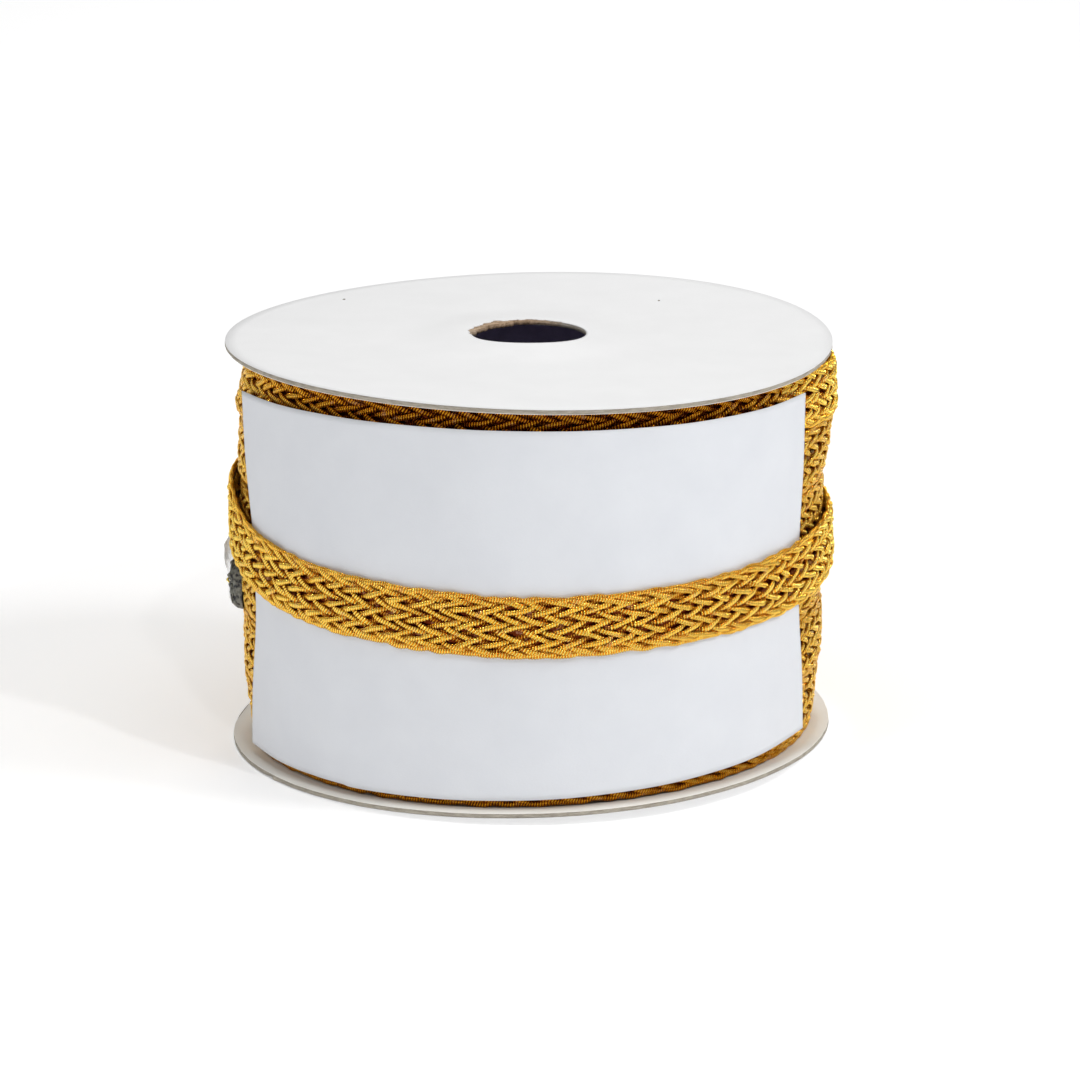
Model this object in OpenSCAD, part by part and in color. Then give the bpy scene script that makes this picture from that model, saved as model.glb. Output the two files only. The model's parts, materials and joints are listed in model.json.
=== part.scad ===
// Cardboard spool wound with a flat metallic braid, closed with a paper label
// and the last turn of the braid. Millimetres. +Z runs up the spool's axis, the
// origin is at the centre of the bottom face, and the label faces -Y.

/* [Spool] */
// Diameter of both flanges
flange_d = 95; // [90:1:115]
// Height over both flanges
spool_h = 63.5; // [62:0.5:84]
// Diameter of the spindle hole through both flanges
spindle_d = 18; // [12:0.5:30]

/* [Flange] */
// Thickness of a flange's grey board
board_t = 0.65; // [0.5:0.05:1.5]
// Thickness of the paper lining each face of the board
liner_t = 0.1; // [0.1:0.05:0.3]

/* [Core tube] */
// Outer diameter of the core tube
core_d = 45; // [40:1:55]
// Thickness of each of the tube's two plies
ply_t = 0.8; // [0.5:0.1:1.5]
// Leg of the glue fillet between the tube and a flange
glue_leg = 1.6; // [0.8:0.1:3]

/* [Braid] */
// Width of the flat braid
braid_w = 9.5; // [8:0.5:10]
// Thickness of the flat braid
braid_t = 1.3; // [0.8:0.1:1.6]
// Depth from the flange's edge down to the wound braid
edge_depth = 1.9; // [1.8:0.1:4]

/* [Start of the braid] */
// Width of the double-sided tape that holds the braid to the core
start_tape_w = 12; // [6:1:20]
// Length of that tape around the core
start_tape_l = 20; // [10:1:40]
// Thickness of that tape
start_tape_t = 0.1; // [0.05:0.05:0.2]

/* [Label] */
// Height of the label
label_h = 57; // [40:1:57]
// Length of the label around the winding
label_l = 114; // [60:1:160]
// Height of the label's lower edge above the bottom face
label_z = 2.6; // [2.2:0.1:2.6]
// Thickness of the label
label_t = 0.2; // [0.1:0.05:0.3]
// How far the label's middle is turned from the front
label_turn = -3; // [-20:1:20]

/* [Retaining wrap] */
// Height at which the wrap crosses the middle of the label
wrap_z = 29.5; // [26:0.5:34]
// Height of the wrap's middle at the braid's cut end
wrap_end_z = 25; // [22:0.5:25]
// Length of the frayed stretch at the cut end
frayed_l = 3.5; // [2:0.5:6]

/* [Closing tape] */
// Height of the closing tape
tape_h = 11; // [8:0.5:14]
// Length of the closing tape around the winding
tape_l = 17; // [10:1:24]
// Thickness of the closing tape
tape_t = 0.1; // [0.05:0.05:0.2]
// How far the tape reaches past the cut end
tape_past = 3; // [0:0.5:4]

/* [Hidden] */
$fn = 96;

flange_r = flange_d / 2;
spindle_r = spindle_d / 2;
flange_t = board_t + 2 * liner_t;
channel_h = spool_h - 2 * flange_t;

core_r = core_d / 2;
core_mid_r = core_r - ply_t;
core_in_r = core_r - 2 * ply_t;

wound_r = flange_r - edge_depth;
inner_wound_r = wound_r - braid_t;
turn_count = floor(channel_h / braid_w);
turn_pitch = channel_h / turn_count;

label_r = wound_r + label_t;
label_half = arc_angle(label_l, wound_r) / 2;

// Route of the retaining wrap, as [angle from the front, height of its middle]. It
// comes out from under the label at the top turn, goes down across the back and round
// the front, over the label, and ends at the left after one and a half turns.
wrap_gap = 0.6;
wrap_start = label_turn + label_half + wrap_gap;
wrap_end = 626;
wrap_top_z = spool_h - flange_t - turn_pitch / 2;
wrap_route = [
    [wrap_start, wrap_top_z],
    [90, wrap_top_z - 0.5],
    [180, wrap_z + 15.5],
    [270, wrap_z + 5.5],
    [315, wrap_z + 1.5],
    [360, wrap_z],
    [405, wrap_z + 1],
    [450, wrap_z + 2.5],
    [540, wrap_z],
    [wrap_end, wrap_end_z]
];
wrap_step = 4;
// A chord of the route must clear the label, so the wrap's inner corners stand out a little
wrap_in_r = label_r / cos(wrap_step / 2);
wrap_r = wrap_in_r + braid_t;
tape_r = wrap_r + tape_t;

// How far a cutting solid passes what it cuts
over = 1;
// Gap between the start tape and the bottom flange
start_tape_gap = 1;

function turn_name(i) = str("outer_turn_", i);
function arc_angle(length, radius) = length / radius * 180 / PI;

// A plain ring about the axis, standing on height z
module ring(inner_r, outer_r, height, z = 0) {
    translate([0, 0, z])
        difference() {
            cylinder(h = height, r = outer_r);
            translate([0, 0, -over]) cylinder(h = height + 2 * over, r = inner_r);
        }
}

// Part of a ring, from one angle to another; angles count from the front, towards +X
module ring_arc(inner_r, outer_r, height, z, from, to) {
    translate([0, 0, z])
        rotate([0, 0, from - 90])
            rotate_extrude(angle = to - from)
                translate([inner_r, 0]) square([outer_r - inner_r, height]);
}

// The same, given as a length about a middle angle
module ring_patch(inner_r, outer_r, height, z, middle, length) {
    half = arc_angle(length, inner_r) / 2;
    ring_arc(inner_r, outer_r, height, z, middle - half, middle + half);
}

// Core tube: two plies of wound paper between the flanges

module core_inner_ply() {
    color([0.34, 0.32, 0.42]) ring(core_in_r, core_mid_r, channel_h, flange_t);
}

module core_outer_ply() {
    color([0.55, 0.44, 0.32]) ring(core_mid_r, core_r, channel_h, flange_t);
}

// Fillet of glue inside the tube's end, drawn standing on the bottom flange
module glue_fillet() {
    color([0.86, 0.80, 0.62])
        rotate_extrude()
            translate([core_in_r, flange_t])
                polygon([[0, 0], [-glue_leg, 0], [0, glue_leg]]);
}

module bottom_glue_fillet() {
    glue_fillet();
}

module top_glue_fillet() {
    translate([0, 0, spool_h]) mirror([0, 0, 1]) glue_fillet();
}

// Flanges: grey board between two paper liners, all punched with the spindle hole

module flange_layer(thickness, z) {
    ring(spindle_r, flange_r, thickness, z);
}

module bottom_outer_liner() {
    color([0.93, 0.94, 0.94]) flange_layer(liner_t, 0);
}

module bottom_flange_board() {
    color([0.58, 0.56, 0.52]) flange_layer(board_t, liner_t);
}

module bottom_inner_liner() {
    color([0.87, 0.85, 0.81]) flange_layer(liner_t, liner_t + board_t);
}

module top_inner_liner() {
    color([0.87, 0.85, 0.81]) flange_layer(liner_t, spool_h - flange_t);
}

module top_flange_board() {
    color([0.58, 0.56, 0.52]) flange_layer(board_t, spool_h - liner_t - board_t);
}

module top_outer_liner() {
    color([0.93, 0.94, 0.94]) flange_layer(liner_t, spool_h - liner_t);
}

// Braid: one continuous length, from the start tape on the core to the cut end

// The start tape, or the room for it: its inner face may be drawn deeper than the core
module start_tape_shape(depth) {
    half = arc_angle(start_tape_l, core_r) / 2;
    z = flange_t + start_tape_gap;
    ring_arc(core_r - depth, core_r + start_tape_t, start_tape_w, z, -half, half);
}

module start_tape() {
    color([0.90, 0.88, 0.78]) start_tape_shape(0);
}

module inner_winding() {
    color([0.55, 0.35, 0.08])
        difference() {
            ring(core_r, inner_wound_r, channel_h, flange_t);
            start_tape_shape(over);
        }
}

module outer_turn(i) {
    z = flange_t + (i - 0.5) * turn_pitch - braid_w / 2;
    color([0.80, 0.56, 0.12]) ring(inner_wound_r, wound_r, braid_w, z);
}

// The four corners of the wrap's section at one angle of its route
function wrap_corners(a) =
    let (low = lookup(a, wrap_route) - braid_w / 2, high = low + braid_w)
    [for (c = [[wrap_in_r, low], [wrap_r, low], [wrap_r, high], [wrap_in_r, high]])
        [c[0] * sin(a), -c[0] * cos(a), c[1]]];

module retaining_wrap() {
    count = ceil((wrap_end - wrap_start) / wrap_step);
    angles = [for (i = [0:count]) wrap_start + (wrap_end - wrap_start) * i / count];
    points = [for (a = angles) each wrap_corners(a)];
    sides = [for (i = [0:count - 1], j = [0:3])
        [4 * i + j, 4 * i + (j + 1) % 4, 4 * i + 4 + (j + 1) % 4, 4 * i + 4 + j]];
    ends = [[3, 2, 1, 0], [for (j = [0:3]) 4 * count + j]];
    color([0.88, 0.64, 0.16]) polyhedron(points, concat(sides, ends));
}

// The frayed stretch in line with the end of the wrap
module braid_cut_end() {
    to = wrap_end + arc_angle(frayed_l, wrap_r);
    color([0.20, 0.19, 0.20])
        ring_arc(wrap_in_r, wrap_r, braid_w, wrap_end_z - braid_w / 2, wrap_end, to);
}

// Paper label and the tape that closes the spool

module label() {
    color([0.86, 0.87, 0.90])
        ring_patch(wound_r, label_r, label_h, label_z, label_turn, label_l);
}

// It lies over the wrap's end and the frayed stretch
module end_tape() {
    to = wrap_end + arc_angle(frayed_l + tape_past, wrap_r);
    color([0.80, 0.80, 0.76, 0.6])
        ring_arc(wrap_r, tape_r, tape_h, wrap_end_z - tape_h / 2, to - arc_angle(tape_l, wrap_r), to);
}

core_inner_ply();
core_outer_ply();
bottom_outer_liner();
bottom_flange_board();
bottom_inner_liner();
bottom_glue_fillet();
top_inner_liner();
top_flange_board();
top_outer_liner();
top_glue_fillet();
start_tape();
inner_winding();
for (i = [1:turn_count]) {
    outer_turn(i);
}
label();
retaining_wrap();
braid_cut_end();
end_tape();
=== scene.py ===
import json
import math

import bpy
import numpy as np
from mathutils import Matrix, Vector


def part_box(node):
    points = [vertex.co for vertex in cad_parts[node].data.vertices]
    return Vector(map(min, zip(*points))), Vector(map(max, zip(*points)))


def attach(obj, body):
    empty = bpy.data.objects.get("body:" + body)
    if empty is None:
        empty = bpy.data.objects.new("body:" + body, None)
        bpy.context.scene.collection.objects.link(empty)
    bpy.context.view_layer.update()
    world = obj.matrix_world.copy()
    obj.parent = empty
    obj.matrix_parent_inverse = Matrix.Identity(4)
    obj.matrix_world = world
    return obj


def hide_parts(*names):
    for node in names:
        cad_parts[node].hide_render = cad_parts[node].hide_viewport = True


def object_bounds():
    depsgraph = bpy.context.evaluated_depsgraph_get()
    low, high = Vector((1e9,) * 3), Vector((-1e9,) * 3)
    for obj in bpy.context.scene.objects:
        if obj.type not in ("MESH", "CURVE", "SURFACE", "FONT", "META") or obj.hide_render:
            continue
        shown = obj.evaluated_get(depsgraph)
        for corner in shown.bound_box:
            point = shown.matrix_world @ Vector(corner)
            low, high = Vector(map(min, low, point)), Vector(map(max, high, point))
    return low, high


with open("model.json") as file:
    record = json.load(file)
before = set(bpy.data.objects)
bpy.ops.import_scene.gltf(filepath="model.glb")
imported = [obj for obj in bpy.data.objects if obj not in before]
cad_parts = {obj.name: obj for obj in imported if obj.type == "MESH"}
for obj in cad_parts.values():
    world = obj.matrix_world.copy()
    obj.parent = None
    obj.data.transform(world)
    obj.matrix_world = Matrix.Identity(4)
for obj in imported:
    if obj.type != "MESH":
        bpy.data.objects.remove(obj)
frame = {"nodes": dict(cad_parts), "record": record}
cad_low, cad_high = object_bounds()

MM = 0.001
TURN = 2 * math.pi


# ---------------------------------------------------------------- sizes read from the frame

def outer_radius(node):
    low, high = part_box(node)
    return max(high.x, high.y, -low.x, -low.y)


def node_span(node):
    """Lowest and highest z of a node."""
    low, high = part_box(node)
    return low.z, high.z


FLANGE_R = outer_radius("top_flange_board")
SPOOL_H = cad_high.z
CORE_R = outer_radius("core_outer_ply")
WOUND_R = outer_radius("outer_turn_1")
INNER_WOUND_R = outer_radius("inner_winding")
LABEL_R = outer_radius("label")
BRAID_T = WOUND_R - INNER_WOUND_R
BRAID_W = node_span("outer_turn_1")[1] - node_span("outer_turn_1")[0]
WRAP_MID_R = LABEL_R + BRAID_T / 2
SPINDLE_R = frame["record"]["mounts"][0]["dims"]["r_mm"] * MM
TURNS = ["outer_turn_%d" % i for i in range(1, 7)]

# How far the bottom flange's right edge is bent up and its left edge down
BOTTOM_BEND = 1.33 * MM
# How far the bottom flange's edge sits to the right
BOTTOM_SHIFT = 0.38 * MM
# How far the top flange is twisted out of flat, halfway between front and side
TOP_TWIST = 0.57 * MM


# ---------------------------------------------------------------- mesh helpers

def settle(points):
    """Points moved as the bent flanges move what lies between them."""
    points = np.array(points, float)
    x, y, z = points[..., 0], points[..., 1], points[..., 2]
    r = np.hypot(x, y) + 1e-9
    share = np.clip((r - CORE_R) / (FLANGE_R - CORE_R), 0, 1) ** 1.2
    top = np.clip(z / SPOOL_H, 0, 1)
    bend = (1 - top) * BOTTOM_BEND * x / r
    twist = top * TOP_TWIST * 2 * x * y / r**2
    points[..., 2] += share * (bend + twist)
    points[..., 0] += share * (1 - top) * BOTTOM_SHIFT
    return points


def piece(name, points, quads, material, replaces=(), attributes=None):
    """A mesh object from points and four-cornered faces, riding on the spool."""
    mesh = bpy.data.meshes.new(name)
    mesh.vertices.add(len(points))
    mesh.vertices.foreach_set("co", np.ascontiguousarray(points, np.float32).ravel())
    mesh.loops.add(quads.size)
    mesh.loops.foreach_set("vertex_index", quads.astype(np.int32).ravel())
    mesh.polygons.add(len(quads))
    mesh.polygons.foreach_set("loop_start", np.arange(0, quads.size, 4, dtype=np.int32))
    mesh.polygons.foreach_set("use_smooth", np.ones(len(quads), bool))
    mesh.update(calc_edges=True)
    for key, values in (attributes or {}).items():
        layer = mesh.attributes.new(key, "FLOAT", "POINT")
        layer.data.foreach_set("value", np.asarray(values, np.float32).ravel())
    mesh.materials.append(material)
    obj = bpy.data.objects.new(name, mesh)
    bpy.context.collection.objects.link(obj)
    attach(obj, "root")
    if replaces:
        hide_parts(*replaces)


def grid_faces(rows, columns, close_rows=False, close_columns=False):
    """Faces of a grid of points stored row by row."""
    row = np.arange(rows if close_rows else rows - 1)
    column = np.arange(columns if close_columns else columns - 1)
    i, j = np.meshgrid(row, column, indexing="ij")
    below, right = (i + 1) % rows, (j + 1) % columns
    corners = [i * columns + j, i * columns + right, below * columns + right, below * columns + j]
    return np.stack(corners, -1).reshape(-1, 4)


def cap_faces(first, sides):
    """Faces that close a ring of an even number of points."""
    half = range(sides // 2 - 1)
    return np.array([[first + j, first + sides - 1 - j, first + sides - 2 - j, first + j + 1] for j in half])


def join(parts):
    """One list of points and faces from several."""
    points, quads, start = [], [], 0
    for part_points, part_quads in parts:
        points.append(part_points)
        quads.append(part_quads + start)
        start += len(part_points)
    return np.concatenate(points), np.concatenate(quads)


def slab(outer, inner):
    """A thin closed sheet between two grids of points."""
    rows, columns = outer.shape[:2]
    count = rows * columns
    loop = [i * columns for i in range(rows)]
    loop += [(rows - 1) * columns + j for j in range(1, columns)]
    loop += [i * columns + columns - 1 for i in range(rows - 2, -1, -1)]
    loop += [j for j in range(columns - 2, 0, -1)]
    loop = np.array(loop)
    following = np.roll(loop, -1)
    rim = np.stack([loop, following, following + count, loop + count], -1)
    faces = grid_faces(rows, columns)
    quads = np.concatenate([faces, faces[:, ::-1] + count, rim])
    return np.concatenate([outer.reshape(-1, 3), inner.reshape(-1, 3)]), quads


def unit(vectors):
    return vectors / np.maximum(np.linalg.norm(vectors, axis=-1, keepdims=True), 1e-12)


def polar(angle, radius, height):
    """Points at angles from the front, radii and heights."""
    angle, radius, height = np.broadcast_arrays(angle, radius, height)
    return np.stack([radius * np.sin(angle), -radius * np.cos(angle), height], -1)


def outwards(angle, roll):
    """Outward directions, tipped down by a roll in degrees, so that a band's upper edge leans out."""
    return polar(angle, np.cos(np.radians(roll)), -np.sin(np.radians(roll)))


def tangents(centres, closed):
    if closed:
        return unit(np.roll(centres, -1, 0) - np.roll(centres, 1, 0))
    return unit(np.gradient(centres, axis=0))


def tube(centres, outward, half_w, half_t, sides, closed=False, lean=0.0):
    """Points and faces of a tube of oval section, and the angle of each point in its section."""
    along = tangents(centres, closed)
    side = unit(np.cross(outward, along))
    out = np.cross(along, side)
    around = (np.arange(sides) + 0.5) * TURN / sides
    half_w = np.broadcast_to(half_w, len(centres))[:, None, None]
    half_t = np.broadcast_to(half_t, len(centres))[:, None, None]
    c, s = np.cos(around)[None, :, None], np.sin(around)[None, :, None]
    points = centres[:, None] + half_w * c * side[:, None] + half_t * s * out[:, None]
    points = points + lean * c * along[:, None]
    quads = grid_faces(len(centres), sides, close_rows=closed, close_columns=True)
    if not closed:
        last = (len(centres) - 1) * sides
        quads = np.concatenate([quads, cap_faces(0, sides), cap_faces(last, sides)[:, ::-1]])
    return points.reshape(-1, 3), quads, np.broadcast_to(around, (len(centres), sides)).ravel()


def hump(angle, centre, spread, power=2):
    """1 at an angle round the axis, falling to 0 beside it. Angle in radians, the rest in degrees."""
    away = (np.degrees(angle) - centre + 180) % 360 - 180
    return np.exp(-(np.abs(away) / spread) ** power)


def wander(place, total, rng, shortest, longest, terms=5):
    """A smooth random wave along a line, about -1 to 1, that closes on itself over the total length."""
    waves = np.round(rng.uniform(total / longest, total / shortest, terms))
    starts = rng.uniform(0, TURN, terms)
    return sum(np.sin(TURN * w * place / total + a) for w, a in zip(waves, starts)) / terms**0.5


# ---------------------------------------------------------------- flat braid

STRANDS = 17
# Length of braid in which a strand goes to the far edge and back
PLAIT = 65 * MM
STRAND_W = 0.92 * MM
STRAND_T = 0.54 * MM
# Spacing of the metal thread wound round each strand
RIB = 0.41 * MM
# How close to a sharp corner a strand turns at the braid's edge
CORNER = 0.86
# How unevenly a strand lies: how far along, how far up or down, across, outwards, and how thick
UNEVEN_PLACE = 0.16 / STRANDS
UNEVEN_LIFT = 0.28
UNEVEN_ACROSS = 0.10 * MM
UNEVEN_HEIGHT = 0.07 * MM
UNEVEN_SIZE = 0.13
# How thick a strand is between two turns of its metal thread, as a share of its thickness
VALLEY = 0.72
# Sides of a strand in the wound turns
SIDES = 6
# How deep the top turn dips under the start of the wrap, and over what angle in degrees
DIP = 1.4 * MM
DIP_REACH = 14


def plait(phase, uneven):
    """Where a strand is across the braid, from -1 to 1, and how far it is lifted, from -1 to 1."""
    sine = np.sin(TURN * phase)
    across = np.arcsin(CORNER * sine) / math.asin(CORNER)
    way = np.cos(TURN * phase) / np.sqrt(1 - (CORNER * sine) ** 2)
    crossing = np.cos(math.pi * STRANDS * np.arcsin(np.clip(sine, -1, 1)) / TURN)
    lift = np.tanh(1.7 * (crossing + uneven)) / math.tanh(1.7)
    return across, way * lift


def strand(place, total, phase, middle, out, width, rng, sides, closed, ribs, painted_shade=0.0):
    """One strand of a braid: its points, faces, how light each point is painted for its depth in the braid
    (painted shade), and its place along it.
    """
    side = unit(np.cross(out, tangents(middle, closed)))
    phase = phase + UNEVEN_PLACE * wander(place, total, rng, 12 * MM, 60 * MM)
    across, lift = plait(phase, UNEVEN_LIFT * wander(place, total, rng, 7 * MM, 25 * MM))
    across = across * (width - STRAND_W) / 2
    across = across + UNEVEN_ACROSS * wander(place, total, rng, 5 * MM, 14 * MM)
    rise = (BRAID_T - STRAND_T) / 2
    height = rise * lift + UNEVEN_HEIGHT * wander(place, total, rng, 4 * MM, 12 * MM)
    centres = middle + across[:, None] * side + height[:, None] * out
    swell = 1 + UNEVEN_SIZE * wander(place, total, rng, 3 * MM, 9 * MM)
    valley = (np.arange(len(place)) % 3 == 0) & ribs
    swell = swell * np.where(valley, VALLEY, 1.0)
    points, quads, around = tube(
        centres, out, swell * STRAND_W / 2, swell * STRAND_T / 2, sides, closed, lean=0.25 * RIB
    )
    outer = np.sin(around)
    # Painted shade: a point is darker the deeper it lies in the braid, on either face, and darker still by
    # the painted shade passed in
    depth_shade = 0.5 - painted_shade + 0.30 * np.sign(outer) * np.repeat(lift, sides) + 0.28 * np.abs(outer)
    return points, quads, depth_shade, np.repeat(place, sides) / RIB


def inner_threads(middle, out, width):
    """A thin strip in the middle of a braid that closes its gaps, at the darkest colour: painted shade for
    the deep yarns seen through them.
    """
    middle, out = middle[::6], out[::6]
    side = unit(np.cross(out, tangents(middle, False)))
    across = np.linspace(-0.5, 0.5, 9)[None, :, None] * (width[::6, None, None] - 2 * STRAND_W)
    strip = (middle - 0.25 * BRAID_T * out)[:, None] + across * side[:, None]
    points, quads = slab(strip + 0.05 * MM * out[:, None], strip - 0.05 * MM * out[:, None])
    nothing = np.zeros(len(points))
    return points, quads[:, ::-1], nothing, nothing


def joined(made):
    """Several strands as one, with their attributes."""
    points, quads = join([(m[0], m[1]) for m in made])
    return points, quads, np.concatenate([m[2] for m in made]), np.concatenate([m[3] for m in made])


def closed_braid(radius, height, width, seed, repeats, step, lie, dip_at=None):
    """A braid that runs once round the spool. Its strands are one line of many circuits.

    It can dip at one angle, where the wrap comes up over it.
    """
    right, right_roll, left, left_roll, back, front, painted_shade = lie
    rng = np.random.default_rng(seed)
    total = STRANDS * TURN * radius
    place = np.arange(0, total, total / round(total / step))
    angle = place / radius
    at_right, at_left, at_front = hump(angle, 97, 17), hump(angle, -97, 14), hump(angle, 0, 58, 4)
    r = radius + 0.05 * MM * wander(angle, TURN, rng, TURN / 9, TURN / 2)
    r = r + MM * (right * at_right + left * at_left - back - front * at_front)
    if dip_at is not None:
        r = r - DIP * hump(angle, dip_at, DIP_REACH, 4)
    z = height + 0.10 * MM * wander(angle, TURN, rng, TURN / 7, TURN / 2)
    out = outwards(angle, right_roll * at_right + left_roll * at_left)
    phase = place / total * repeats
    # Painted shade at the front, where a turn lies back under a flange and that flange's shadow falls
    painted_shade = np.repeat(painted_shade * hump(angle, 0, 62, 6), SIDES)
    middle = polar(angle, r, z)
    strands = strand(place, total, phase, middle, out, width, rng, SIDES, True, False, painted_shade)
    once = len(place) // STRANDS + 1
    return joined([strands, inner_threads(middle[:once], out[:once], np.full(once, width))])


def open_braid(angle, radius, height, roll, width, seed, sides):
    """A braid along a route round the spool, with cut ends."""
    rng = np.random.default_rng(seed)
    middle = polar(angle, radius, height)
    length = np.concatenate([[0], np.cumsum(np.linalg.norm(np.diff(middle, axis=0), axis=1))])
    total = length[-1]
    place = np.arange(0, total, RIB / 3)
    middle = np.stack([np.interp(place, length, middle[:, i]) for i in range(3)], -1)
    width = np.interp(place, length, width)
    out = outwards(np.interp(place, length, angle), np.interp(place, length, roll))
    made = []
    for k in range(STRANDS):
        phase = place / PLAIT + k / STRANDS
        made.append(strand(place, total, phase, middle, out, width, rng, sides, False, True))
    return joined(made + [inner_threads(middle, out, width)])


# ---------------------------------------------------------------- materials

class Look:
    """A Principled material whose nodes are added one by one."""

    def __init__(self, name, roughness=0.6, metallic=0.0):
        self.material = bpy.data.materials.new(name)
        self.material.use_nodes = True
        self.tree = self.material.node_tree
        self.shader = self.tree.nodes["Principled BSDF"]
        self.set("Roughness", roughness)
        self.set("Metallic", metallic)

    def set(self, socket, value):
        self.shader.inputs[socket].default_value = value

    def wire(self, value, target):
        """A value or another node's output into a node's input."""
        if isinstance(value, bpy.types.NodeSocket):
            self.tree.links.new(value, target)
        else:
            target.default_value = value

    def to(self, socket, value):
        self.wire(value, self.shader.inputs[socket])

    def place(self, stretch=(1, 1, 1)):
        """Coordinates in the spool's frame, stretched along each axis."""
        coordinates = self.tree.nodes.new("ShaderNodeTexCoord")
        mapping = self.tree.nodes.new("ShaderNodeMapping")
        mapping.inputs["Scale"].default_value = stretch
        self.tree.links.new(coordinates.outputs["Object"], mapping.inputs["Vector"])
        return mapping.outputs["Vector"]

    def noise(self, size, detail=3.0, rough=0.55, stretch=(1, 1, 1)):
        """Noise whose blotches are about the given size."""
        noise = self.tree.nodes.new("ShaderNodeTexNoise")
        noise.inputs["Scale"].default_value = 1 / size
        noise.inputs["Detail"].default_value = detail
        noise.inputs["Roughness"].default_value = rough
        self.tree.links.new(self.place(stretch), noise.inputs["Vector"])
        return noise.outputs["Fac"]

    def attribute(self, name):
        attribute = self.tree.nodes.new("ShaderNodeAttribute")
        attribute.attribute_name = name
        return attribute.outputs["Fac"]

    def math(self, operation, a, b=0.0, c=0.5):
        node = self.tree.nodes.new("ShaderNodeMath")
        node.operation = operation
        self.wire(a, node.inputs[0])
        self.wire(b, node.inputs[1])
        self.wire(c, node.inputs[2])
        return node.outputs[0]

    def vector_math(self, operation, a, b, output="Value"):
        node = self.tree.nodes.new("ShaderNodeVectorMath")
        node.operation = operation
        self.wire(a, node.inputs[0])
        self.wire(b, node.inputs[1])
        return node.outputs[output]

    def ramp(self, factor, stops):
        """A colour ramp with stops of place and colour."""
        node = self.tree.nodes.new("ShaderNodeValToRGB")
        elements = node.color_ramp.elements
        while len(elements) < len(stops):
            elements.new(0.5)
        for element, (position, color) in zip(elements, stops):
            element.position = position
            element.color = (*color, 1.0)
        self.wire(factor, node.inputs["Fac"])
        return node.outputs["Color"]

    def mix(self, factor, a, b):
        """A blend of two colours, each a node's output or three numbers."""
        node = self.tree.nodes.new("ShaderNodeMix")
        node.data_type = "RGBA"
        self.wire(factor, node.inputs[0])
        self.wire(a if isinstance(a, bpy.types.NodeSocket) else (*a, 1.0), node.inputs[6])
        self.wire(b if isinstance(b, bpy.types.NodeSocket) else (*b, 1.0), node.inputs[7])
        return node.outputs[2]

    def bump(self, height, distance, strength=1.0):
        """A bump of the given height in metres, added to the one before it."""
        node = self.tree.nodes.new("ShaderNodeBump")
        node.inputs["Distance"].default_value = distance
        node.inputs["Strength"].default_value = strength
        normal = self.shader.inputs["Normal"]
        if normal.is_linked:
            self.tree.links.new(normal.links[0].from_socket, node.inputs["Normal"])
        self.tree.links.new(height, node.inputs["Height"])
        self.tree.links.new(node.outputs["Normal"], normal)


def no_marks(look, color):
    return color


def specks(look, color):
    """Two small dark specks on the top face, towards the back."""
    stretch = (1, 0.45, 0.05)
    for x, y, size in [(-30.0, 28.6, 0.24), (21.0, 25.0, 0.20)]:
        middle = (x * MM, 0.45 * y * MM, 0.05 * SPOOL_H)
        away = look.vector_math("DISTANCE", look.place(stretch), middle)
        color = look.mix(look.math("LESS_THAN", away, size * MM), color, (0.20, 0.18, 0.15))
    return color


def crease(look, color):
    """A fine crease across the inner face of the bottom flange, close to its left rim, drawn only as a dark
    line: painted shade of the fold.
    """
    away = look.vector_math("DOT_PRODUCT", look.place(), (-0.985, 0.174, 0.0))
    line = look.math("COMPARE", away, 46.9 * MM, 0.07 * MM)
    return look.mix(line, color, (0.20, 0.17, 0.13))


def paper(name, light, dark, roughness, marks=no_marks):
    """Smooth paper with faint blotches and fibres."""
    look = Look(name, roughness)
    blotches = look.ramp(look.noise(9 * MM, 4.0), [(0.3, dark), (0.7, light)])
    fibres = look.noise(0.35 * MM, 2.0, stretch=(1, 1, 1.6))
    color = look.mix(0.10, blotches, look.ramp(fibres, [(0.3, dark), (0.7, light)]))
    look.to("Base Color", marks(look, color))
    look.to("Roughness", look.math("MULTIPLY_ADD", look.noise(3 * MM), 0.12))
    look.bump(fibres, 0.02 * MM)
    look.bump(look.noise(14 * MM, 1.0), 0.25 * MM, 0.5)
    return look.material


def board_edge(name, light, dark, torn_light, torn_dark):
    """The cut edge of grey board: matted fibres in flat layers, browner where it is torn."""
    look = Look(name, 0.9)
    layers = look.noise(1.6 * MM, 4.0, 0.65, stretch=(1, 1, 7))
    flecks = look.noise(0.5 * MM, 2.0, 0.7)
    cut = look.ramp(layers, [(0.35, dark), (0.65, light)])
    torn = look.ramp(look.noise(1.1 * MM, 3.0, 0.7), [(0.38, torn_dark), (0.60, torn_light)])
    color = look.mix(look.attribute("torn"), cut, torn)
    look.to("Base Color", look.mix(look.math("MULTIPLY", flecks, 0.4), color, dark))
    look.bump(layers, 0.15 * MM)
    look.bump(flecks, 0.06 * MM)
    return look.material


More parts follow.
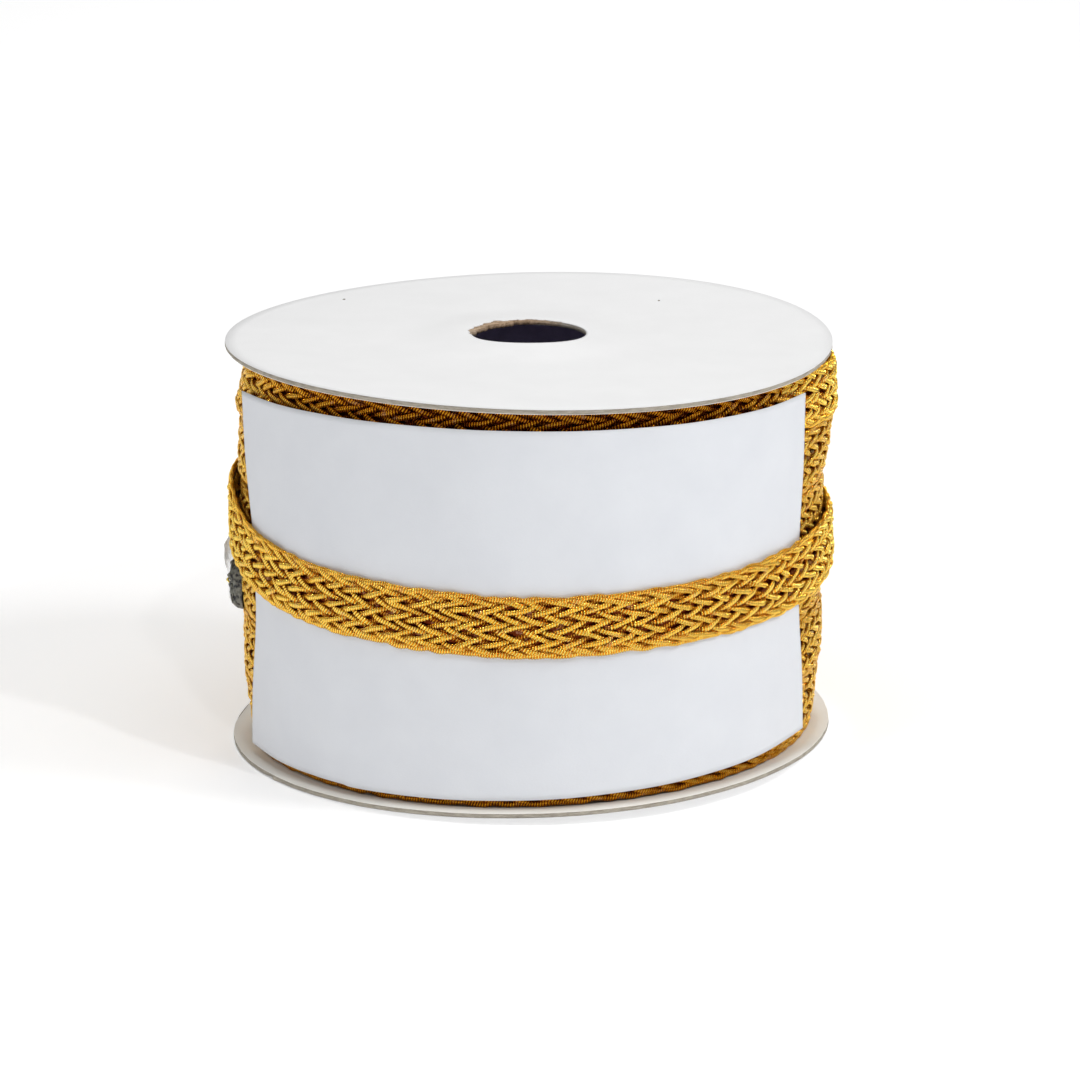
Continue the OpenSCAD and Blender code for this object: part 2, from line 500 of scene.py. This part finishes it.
def gold(name, rib_height, painted_light_shift):
    """Metal thread wound round a brown yarn. Its colour carries painted shade, darker where it lies deep in
    the braid and in the valleys between turns of the thread, and a painted highlight, paler, on the
    outermost crests.
    """
    look = Look(name, 0.22, 0.8)
    look.set("Specular Tint", (1.0, 0.78, 0.40, 1.0))
    wave = look.math("COSINE", look.math("MULTIPLY", look.attribute("rib"), TURN))
    grain = look.math("MULTIPLY", look.noise(0.5 * MM, 2.0), 0.40)
    # Painted shade and highlight: deep places and the valleys between the thread's turns go dark, the crests
    # pale
    depth = look.math("ADD", look.math("MULTIPLY", look.attribute("lift"), 0.62), grain)
    depth = look.math("ADD", depth, look.math("MULTIPLY_ADD", wave, -0.25, painted_light_shift))
    color = look.ramp(depth, [
        (0.12, (0.110, 0.012, 0.001)),
        (0.30, (0.350, 0.075, 0.003)),
        (0.50, (0.850, 0.302, 0.007)),
        (0.68, (1.000, 0.508, 0.020)),
        (0.86, (1.000, 0.790, 0.180)),
    ])
    glints = look.ramp(look.noise(1.3 * MM, 2.0), [(0.60, (0, 0, 0)), (0.72, (0.45, 0.45, 0.45))])
    look.to("Base Color", look.mix(glints, color, (0.72, 0.40, 0.24)))
    look.to("Roughness", look.ramp(look.noise(0.9 * MM), [(0.3, (0.10,) * 3), (0.7, (0.26,) * 3)]))
    look.bump(wave, -rib_height)
    look.bump(look.noise(0.30 * MM, 1.0), 0.05 * MM)
    return look.material


def dark_winding():
    """The braid's deeper layers, seen only through gaps, coloured nearly black as painted shade."""
    look = Look("dark_winding", 0.5, 0.7)
    weave = look.noise(1.2 * MM, 3.0, stretch=(1, 1, 2.5))
    look.to("Base Color", look.ramp(weave, [(0.35, (0.012, 0.002, 0.001)), (0.75, (0.14, 0.04, 0.008))]))
    look.bump(weave, 0.3 * MM)
    return look.material


def plain(name, light, dark, roughness, size, spread=0.2):
    """A mottled surface of two colours with a fine bump."""
    look = Look(name, roughness)
    noise = look.noise(size, 3.0)
    look.to("Base Color", look.ramp(noise, [(0.5 - spread, dark), (0.5 + spread, light)]))
    look.bump(noise, 0.08 * MM)
    return look.material


def clear_tape():
    """Creased tape, milky where it is loose and the adhesive holds dust."""
    look = Look("clear_tape", 0.3)
    dust = look.noise(2.2 * MM, 4.0, 0.6)
    look.to("Base Color", look.ramp(dust, [(0.35, (0.60, 0.60, 0.54)), (0.7, (0.86, 0.87, 0.82))]))
    dusty = look.ramp(dust, [(0.30, (0.28,) * 3), (0.75, (0.75,) * 3)])
    look.to("Alpha", look.math("MULTIPLY", dusty, look.attribute("loose")))
    look.bump(look.noise(1.4 * MM, 3.0), 0.25 * MM)
    return look.material


FLANGE_PAPER = paper("flange_paper", (0.90, 0.90, 0.90), (0.87, 0.87, 0.87), 0.65, specks)
INNER_PAPER = paper("inner_flange_paper", (0.96, 0.94, 0.88), (0.90, 0.87, 0.80), 0.6, crease)
LABEL_PAPER = paper("label_paper", (0.802, 0.822, 0.860), (0.764, 0.784, 0.826), 0.5)
GREY_BOARD = board_edge(
    "grey_board", (0.56, 0.51, 0.43), (0.32, 0.285, 0.23), (0.62, 0.42, 0.26), (0.27, 0.15, 0.07)
)
# The wrap and the wound turns are the same thread; the wrap's copy is made lighter and the turns' darker, as
# painted light and shade
GOLD_WRAP = gold("gold_wrap", 0.07 * MM, 0.03)
GOLD_WOUND = gold("gold_wound", 0.10 * MM, -0.04)
DARK_WINDING = dark_winding()
CORE_INNER = plain("core_inner", (0.42, 0.38, 0.54), (0.34, 0.31, 0.46), 0.8, 3 * MM)
CORE_OUTER = plain("core_outer", (0.42, 0.31, 0.20), (0.30, 0.22, 0.14), 0.85, 2 * MM)
GLUE = plain("glue", (0.75, 0.66, 0.45), (0.60, 0.50, 0.32), 0.4, 2 * MM)
START_TAPE = plain("start_tape", (0.86, 0.84, 0.72), (0.74, 0.72, 0.60), 0.5, 3 * MM)
FRAYED = plain("frayed_yarn", (0.24, 0.24, 0.20), (0.008, 0.008, 0.010), 0.5, 0.6 * MM, 0.10)
CLEAR_TAPE = clear_tape()


# ---------------------------------------------------------------- core and deep winding

def dress(node, material):
    """A CAD node that keeps its shape gets its material."""
    obj = frame["nodes"][node]
    for slot in obj.material_slots:
        slot.material = material
    if not obj.material_slots:
        obj.data.materials.append(material)


def make_core():
    dress("core_inner_ply", CORE_INNER)
    dress("core_outer_ply", CORE_OUTER)
    dress("bottom_glue_fillet", GLUE)
    dress("top_glue_fillet", GLUE)
    dress("start_tape", START_TAPE)


def make_inner_winding():
    """A barrel with a groove between every two turns, lower under the turns that lie back."""
    low, high = node_span("inner_winding")
    rows = 121
    z = np.linspace(low, high, rows)
    turn = (high - low) / len(TURNS)
    groove = np.abs(np.sin(math.pi * (z - low) / turn)) ** 0.4
    top_drop = 2.0 * MM * np.clip((z - high + turn) / MM, 0, 1)
    bottom_drop = 0.9 * MM * np.clip((low + turn - z) / MM, 0, 1)
    outer = INNER_WOUND_R - 0.9 * MM + 0.6 * MM * groove - top_drop - bottom_drop
    inner = np.full(rows, CORE_R + 0.2 * MM)
    radius = np.concatenate([outer, inner[::-1]])
    height = np.concatenate([z, z[::-1]])
    angle = np.linspace(0, TURN, 256, endpoint=False)[:, None]
    points = polar(angle, radius, height).reshape(-1, 3)
    quads = grid_faces(256, 2 * rows, close_rows=True, close_columns=True)[:, ::-1]
    piece("wound_layers", settle(points), quads, DARK_WINDING, ["inner_winding"])


# ---------------------------------------------------------------- flanges

def ragged(angle, seed, sizes):
    """A jagged edge: waves of several counts round the edge, each with its own height."""
    rng = np.random.default_rng(seed)
    total = np.zeros_like(angle)
    for count, height in sizes:
        total += height * np.sin(count * angle + rng.uniform(0, TURN))
    return total


def no_change(angle):
    return np.zeros_like(angle)


def flange_layer(name, node, material, rim_edge=no_change, hole=no_change):
    """One layer of a flange: a disc with a hole, a rounded rim and gently uneven faces."""
    low, high = node_span(node)
    count = 720
    angle = np.linspace(0, TURN, count, endpoint=False)
    rim = FLANGE_R + rim_edge(angle)
    bore = SPINDLE_R + hole(angle)
    across = np.linspace(0, 1, 30) ** 1.4
    bevel = min(0.3 * (high - low), 0.12 * MM)
    upper = bore[:, None] + (rim - bevel - bore)[:, None] * across
    radius = np.concatenate([upper, rim[:, None], rim[:, None], upper[:, ::-1]], 1)
    height = np.concatenate([np.full(30, high), [high - bevel], [low + bevel], np.full(30, low)])
    points = polar(angle[:, None], radius, height[None, :])
    if low > SPOOL_H / 2:
        points[..., 2] += raised_hole(angle[:, None], radius)
    torn = torn_share(angle)[:, None] * (radius < SPINDLE_R + 1.5 * MM)
    quads = grid_faces(count, radius.shape[1], close_rows=True, close_columns=True)
    layers = {"torn": torn}
    piece(name, settle(points.reshape(-1, 3)), quads, material, [node], layers)


def raised_hole(angle, radius):
    """How far the top flange stands up round its hole, inside the core tube, most at the front."""
    inside = np.clip((CORE_R - 2 * MM - radius) / (CORE_R - 2 * MM - SPINDLE_R), 0, 1)
    front = np.clip(np.cos(angle), 0, 1) ** 2 * inside**4
    return MM * (0.6 * np.sin(inside * math.pi / 2) ** 2 + 0.5 * front)


def torn_share(angle):
    """1 where the top flange's hole is torn, at the back and left, falling to 0 at both ends."""
    away = np.clip(1.35 * (angle - math.radians(211)), -math.pi / 2, math.pi / 2)
    return np.cos(away) ** 0.4


def torn_hole(angle):
    """How far the outer liner is torn back at the hole, with one deeper tear."""
    tear = 0.6 * np.exp(-((angle - math.radians(212)) / 0.06) ** 2)
    teeth = ragged(angle, 5, [(9, 0.18), (23, 0.16), (41, 0.10), (83, 0.06)])
    return MM * (torn_share(angle) * (0.65 + teeth) + tear)


def wider_hole(angle):
    """The inner liner is torn back a little all round the hole."""
    return MM * (0.45 + ragged(angle, 3, [(8, 0.05), (29, 0.04)]))


def torn_board_hole(angle):
    """The board's edge at the hole, frayed at the back and left, with a tongue left standing."""
    tongue = np.where((angle > math.radians(196)) & (angle < math.radians(262)), -0.75, 0.15)
    teeth = ragged(angle, 11, [(13, 0.14), (31, 0.11), (67, 0.07)])
    return MM * torn_share(angle) * (tongue + teeth)


def board_rim(angle):
    """The board's rim, cut a little rough and set back from the liners'."""
    return MM * (ragged(angle, 13, [(7, 0.05), (19, 0.03), (61, 0.02)]) - 0.06)


def nicked_rim(angle):
    """The same with a nick knocked into it at the front left."""
    return board_rim(angle) + 0.30 * MM * (hump(angle, -57, 0.9) - hump(angle, -59, 1.1))


def inner_rim(angle):
    """The inner liners end just short of the board."""
    return np.full_like(angle, -0.22 * MM)


def make_flanges():
    flange_layer("bottom_face_paper", "bottom_outer_liner", FLANGE_PAPER)
    flange_layer("bottom_board", "bottom_flange_board", GREY_BOARD, nicked_rim)
    flange_layer("bottom_inner_paper", "bottom_inner_liner", INNER_PAPER, board_rim)
    flange_layer(
        "top_inner_paper", "top_inner_liner", INNER_PAPER, inner_rim, wider_hole
    )
    flange_layer("top_board", "top_flange_board", GREY_BOARD, board_rim, torn_board_hole)
    flange_layer("top_face_paper", "top_outer_liner", FLANGE_PAPER, hole=torn_hole)


# ---------------------------------------------------------------- braid

# How each turn lies, from the bottom one up: how far it stands off at the right and its roll there,
# the same at the left, how far it lies back all round, how much further at the front, and how much
# painted shade darkens it there, standing for the shadow of the flange it lies back under. Millimetres and
# degrees.
TURN_LIE = [
    (0.9, 6, 0.3, 14, 0.9, -0.5, 0.44),
    (1.0, 0, 0.0, 0, 0.0, 0.0, 0.0),
    (1.2, 5, 0.0, 0, 0.0, 0.0, 0.0),
    (0.9, 3, 0.3, 0, 0.0, 0.0, 0.0),
    (2.1, 9, 0.4, -4, 0.0, 0.0, 0.0),
    (0.0, 0, -0.5, -22, 0.0, 1.1, 0.54),
]


def make_turns():
    """The last layer of turns, one piece for each turn of the frame."""
    for i, node in enumerate(TURNS):
        low, high = node_span(node)
        radius = (WOUND_R + INNER_WOUND_R) / 2
        width = BRAID_W + 0.6 * MM
        step = 0.5 * MM
        repeats = 73 + [0, 1, 2, 1, 0, 2][i]
        dip_at = WRAP_ROUTE[0][0] + DIP_REACH if node == TURNS[-1] else None
        points, quads, depth_shade, rib = closed_braid(
            radius, (low + high) / 2, width, 20 + i, repeats, step, TURN_LIE[i], dip_at
        )
        layers = {"lift": depth_shade, "rib": rib}
        name = "wound_turn_%d" % (i + 1)
        piece(name, settle(points), quads, GOLD_WOUND, [node], layers)


# Route of the wrap: angle, height of its middle, how far it stands off the label's surface, and its
# roll. Degrees and millimetres.
WRAP_ROUTE = [
    (60, 57.3, -2.6, 0),
    (70, 57.3, -1.6, 0),
    (80, 56.8, 0.5, -2),
    (90, 56.3, 1.6, -3),
    (110, 55.4, 0.8, 0),
    (140, 51.5, 0.1, 0),
    (180, 45.0, 0.0, 0),
    (225, 40.4, 0.0, 0),
    (250, 38.4, 0.0, 0),
    (262, 37.4, 0.3, 0),
    (270, 36.4, 0.8, 0),
    (280, 35.0, 0.3, 0),
    (288, 33.3, 0.1, 0),
    (315, 31.0, 0.0, 0),
    (360, 29.5, 0.0, 0),
    (405, 30.3, 0.0, 0),
    (425, 31.0, 0.3, 0),
    (450, 32.0, 1.0, -3),
    (462, 32.4, 0.8, -2),
    (480, 31.6, 0.1, 0),
    (500, 30.7, 0.1, 0),
    (540, 29.5, 0.0, 0),
    (600, 26.3, 0.0, 0),
    (630, 24.9, 0.0, 0),
]
# Angle of the wrap's cut end
WRAP_END = 626.0
# Where the wrap is wider or narrower than elsewhere: angle, by how much, and over what angle
WRAP_SPREAD = [(92, -0.8, 14), (268, 2.0, 13), (428, 0.9, 26)]


def eased(angle, column):
    """A column of the wrap's route at an angle, with its corners rounded off."""
    stops = [row[0] for row in WRAP_ROUTE]
    values = [row[column] for row in WRAP_ROUTE]
    spread = np.linspace(-6, 6, 9)
    return sum(np.interp(angle + offset, stops, values) for offset in spread) / len(spread)


def make_wrap():
    """The last turn and a half of the braid, over the label, down to its cut end."""
    angle = np.linspace(WRAP_ROUTE[0][0], WRAP_END, 2400)
    radius = WRAP_MID_R + eased(angle, 2) * MM
    height = eased(angle, 1) * MM
    spread = sum(more * np.exp(-(((angle - centre) / reach) ** 2)) for centre, more, reach in WRAP_SPREAD)
    points, quads, depth_shade, rib = open_braid(
        np.radians(angle), radius, height, eased(angle, 3), BRAID_W + (0.2 + spread) * MM, 7, 8
    )
    layers = {"lift": depth_shade, "rib": rib}
    piece("label_wrap", settle(points), quads, GOLD_WRAP, ["retaining_wrap"], layers)


# ---------------------------------------------------------------- label

def through(x, left, middle, right):
    """A smooth curve through three heights, at x = -1, 0 and 1."""
    return middle + (right - left) / 2 * x + ((right + left) / 2 - middle) * x**2


def waist(v, depth, middle, width):
    """How far an upright edge of the label is drawn in by the wrap, at a height from 0 to 1."""
    return depth * np.exp(-((np.abs(v - middle) / width) ** 3))


def make_label():
    """A sheet of paper bent round the winding, a little askew, with its corners standing off."""
    rows, columns = 61, 241
    x = np.linspace(-1, 1, columns)[None, :]
    v = np.linspace(0, 1, rows)[:, None]
    left = np.radians(-71.3 - 2.2 * v + waist(v, 4.4, 0.48, 0.26))
    right = np.radians(66.7 - 0.1 * v - waist(v, 2.2, 0.47, 0.24))
    angle = (left + right) / 2 + (right - left) / 2 * x
    low = through(x, 2.5, 2.4, 4.0) * MM + 0.2 * MM * (1 - np.tanh((np.degrees(angle) + 38) / 0.6)) / 2
    high = through(x, 57.8, 59.7, 59.2) * MM
    z = low + (high - low) * v
    waves = 0.05 * np.sin(9 * angle + 1.0) * np.cos(4.4 * v + 0.5) + 0.05 * np.sin(17 * angle + 5 * v)
    corners = 0.25 * np.abs(x) ** 30 * np.abs(2 * v - 1) ** 2
    outer_r = LABEL_R + MM * (waves + corners + 0.15)
    outer = polar(angle, outer_r, z)
    inner = polar(angle, outer_r - 0.15 * MM, z)
    points, quads = slab(outer, inner)
    piece("paper_label", settle(points), quads, LABEL_PAPER, ["label"])


# ---------------------------------------------------------------- cut end and tape

def lumps(u, v, rng, count, size):
    """Random rounded bumps over a patch whose coordinates run from 0 to 1."""
    total = np.zeros(np.broadcast(u, v).shape)
    for _ in range(count):
        spread = size * rng.uniform(0.6, 1.4)
        height = rng.uniform(-1, 1)
        distance = (u - rng.random()) ** 2 + (v - rng.random()) ** 2
        total += height * np.exp(-distance / spread**2)
    return total


# The lump of frayed yarn: the angle and height of its middle, half its width and half its height
LUMP = (-97.0, 23.5 * MM, 8.2, 4.4 * MM)


def lump_shape(share, around):
    """Points of the lump: share is 0 in its middle and 1 at its outline, around its way round."""
    middle, height, half_turn, half_height = LUMP
    c, s = np.cos(around), np.sin(around)
    square = (np.abs(c) ** 3 + np.abs(s) ** 3) ** (-1 / 3)
    angle = np.radians(middle + half_turn * share * square * c)
    z = height + half_height * share * square * s
    return angle, z, 2.0 * MM * (1 - share**5) ** 0.5


def make_cut_end():
    """Frayed yarn ends pressed into a dark lump under the tape, and the fibres on it."""
    rng = np.random.default_rng(31)
    rings, count = 28, 96
    share = np.linspace(0.001, 1, rings)[:, None]
    around = np.linspace(0, TURN, count, endpoint=False)[None, :]
    angle, z, rise = lump_shape(share, around)
    u, v = 0.5 + 0.5 * share * np.cos(around), 0.5 + 0.5 * share * np.sin(around)
    rise = rise * (1 + 0.22 * lumps(u, v, rng, 260, 0.05))
    outer = polar(angle, LABEL_R + rise, z)
    inner = polar(angle, LABEL_R - 0.1 * MM, z)[::-1]
    points = np.concatenate([outer, inner]).reshape(-1, 3)
    parts = [(points, grid_faces(2 * rings, count, close_columns=True)[:, ::-1])]
    for _ in range(150):
        t = np.linspace(0, 1, 14)
        share = rng.uniform(0, 0.85) + 0.1 * np.sin(t * rng.uniform(2, 6))
        around = rng.uniform(0, TURN) + rng.uniform(-0.9, 0.9) * t
        angle, z, rise = lump_shape(np.clip(share, 0.02, 0.9), around)
        half = rng.uniform(0.06, 0.14) * MM
        centres = polar(angle, LABEL_R + rise + 0.05 * MM, z)
        parts.append(tube(centres, polar(angle, 1.0, 0.0), half, half, 6)[:2])
    points, quads = join(parts)
    piece("frayed_end", settle(points), quads, FRAYED, ["braid_cut_end"])


def make_loose_thread():
    """A small loop of metal thread that has worked out from under the tape."""
    t = np.linspace(0, 1, 60)
    around = TURN * (0.15 + 0.9 * t)
    angle = np.radians(-94.5) + 0.75 * MM / LABEL_R * np.cos(around)
    radius = LABEL_R + MM * (2.15 + 0.50 * np.sin(around + 0.6))
    height = MM * (23.3 + 0.55 * np.sin(around) + 0.5 * t)
    half = np.where(np.arange(60) % 2 == 0, 0.15, 0.20) * MM
    centres = polar(angle, radius, height)
    points, quads, turn = tube(centres, polar(angle, 0.0, 1.0), half, half, 8)
    # Painted light: the loop's colour is lighter on the side that faces up
    layers = {"lift": 0.85 + 0.2 * np.sin(turn), "rib": 0.5 + 0 * turn}
    piece("loose_thread", settle(points), quads, GOLD_WRAP, attributes=layers)


def make_end_tape():
    """A creased strip of tape over the cut end, pressed round the yarn and loose above it."""
    rng = np.random.default_rng(32)
    low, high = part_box("end_tape")
    v = np.linspace(0, 1, 90)[:, None]
    u = np.linspace(0, 1, 110)[None, :]
    angle = np.radians(-108.5 + 20.0 * u + 0.5 * np.sin(7 * v))
    z = low.z + 0.9 * MM + (high.z - low.z - 0.8 * MM) * v + 0.2 * MM * np.sin(5 * u + 1)
    crease = 0.10 * np.sin(31 * v + 7 * u) + 0.08 * np.sin(19 * u - 23 * v + 2)
    crease = crease + 0.16 * lumps(u, v, rng, 220, 0.05)
    loose = 1 / (1 + np.exp((0.66 - v) / 0.03)) + 0 * u
    tucked = 1.6 * np.clip(1 - v / 0.18, 0, 1) ** 2
    radius = LABEL_R + MM * (2.08 + 0.5 * crease + 0.55 * loose - tucked)
    points, quads = slab(polar(angle, radius, z), polar(angle, radius - 0.05 * MM, z))
    layers = {"loose": np.tile(0.14 + 0.86 * loose.ravel(), 2)}
    piece("creased_tape", settle(points), quads, CLEAR_TAPE, ["end_tape"], layers)


# ---------------------------------------------------------------- stage, light and camera

def make_floor():
    """A wide pale disc that the spool stands on."""
    count = 96
    radius = np.array([0.0005, 0.3, 1.0, 3.0, 9.0])
    angle = np.linspace(0, TURN, count, endpoint=False)[:, None]
    low = settle(polar(-TURN / 4, FLANGE_R, 0.0))[2]
    points = polar(angle, radius, low - 0.02 * MM).reshape(-1, 3)
    mesh = bpy.data.meshes.new("floor")
    quads = grid_faces(count, len(radius), close_rows=True)
    mesh.from_pydata(points.tolist(), [], quads[:, ::-1].tolist())
    look = Look("floor", 0.9)
    look.to("Base Color", look.ramp(look.noise(0.4), [(0.3, (0.93, 0.93, 0.93)), (0.7, (0.95, 0.95, 0.95))]))
    look.set("Emission Color", (1.0, 1.0, 1.0, 1.0))
    look.set("Emission Strength", 0.27)
    mesh.materials.append(look.material)
    obj = bpy.data.objects.new("floor", mesh)
    bpy.context.collection.objects.link(obj)


# Each lamp's name, place, diameter and power. All aim at the spool.
LAMPS = [
    ("top_softbox", (0.1, -0.1, 1.1), 0.9, 2.45),
    ("front_softbox", (1.14, -0.38, 1.05), 0.40, 6.4),
    ("left_fill", (-0.95, -0.4, 0.75), 0.4, 1.7),
    ("back_softbox", (0.0, 0.9, 0.7), 0.5, 2.6),
    ("right_sparkle", (0.62, -0.70, 0.85), 0.05, 2.2),
    ("middle_sparkle", (0.20, -0.85, 0.90), 0.05, 1.0),
    ("left_sparkle", (-0.50, -0.72, 0.80), 0.05, 0.8),
]


def area_light(name, place, aim, size, power):
    lamp = bpy.data.lights.new(name, "AREA")
    lamp.shape = "DISK"
    lamp.size = size
    lamp.energy = power
    obj = bpy.data.objects.new(name, lamp)
    bpy.context.collection.objects.link(obj)
    obj.location = place
    direction = Vector(aim) - Vector(place)
    obj.rotation_euler = direction.to_track_quat("-Z", "Y").to_euler()


def make_lights():
    middle = (0, 0, 0.03)
    for name, place, size, power in LAMPS:
        area_light(name, place, middle, size, power)
    world = bpy.data.worlds.new("studio")
    world.use_nodes = True
    background = world.node_tree.nodes["Background"]
    background.inputs["Color"].default_value = (1.0, 1.0, 1.0, 1.0)
    background.inputs["Strength"].default_value = 0.20
    bpy.context.scene.world = world


def make_camera():
    """A long lens, level with the spool's middle from above the front."""
    elevation = math.radians(15.33)
    distance = 0.767
    aim_z = 31.9 * MM
    camera = bpy.data.cameras.new("camera")
    camera.lens = 161.5
    camera.sensor_width = 36.0
    camera.shift_x = 0.0103
    camera.shift_y = -0.0081
    camera.clip_start = 0.01
    camera.clip_end = 30.0
    obj = bpy.data.objects.new("camera", camera)
    bpy.context.collection.objects.link(obj)
    obj.location = (0, -distance * math.cos(elevation), aim_z + distance * math.sin(elevation))
    obj.rotation_euler = (math.pi / 2 - elevation, 0, 0)
    bpy.context.scene.camera = obj


make_camera()
make_core()
make_inner_winding()
make_flanges()
make_turns()
make_label()
make_wrap()
make_cut_end()
make_loose_thread()
make_end_tape()
make_floor()
make_lights()
bpy.context.scene.view_settings.view_transform = "Standard"
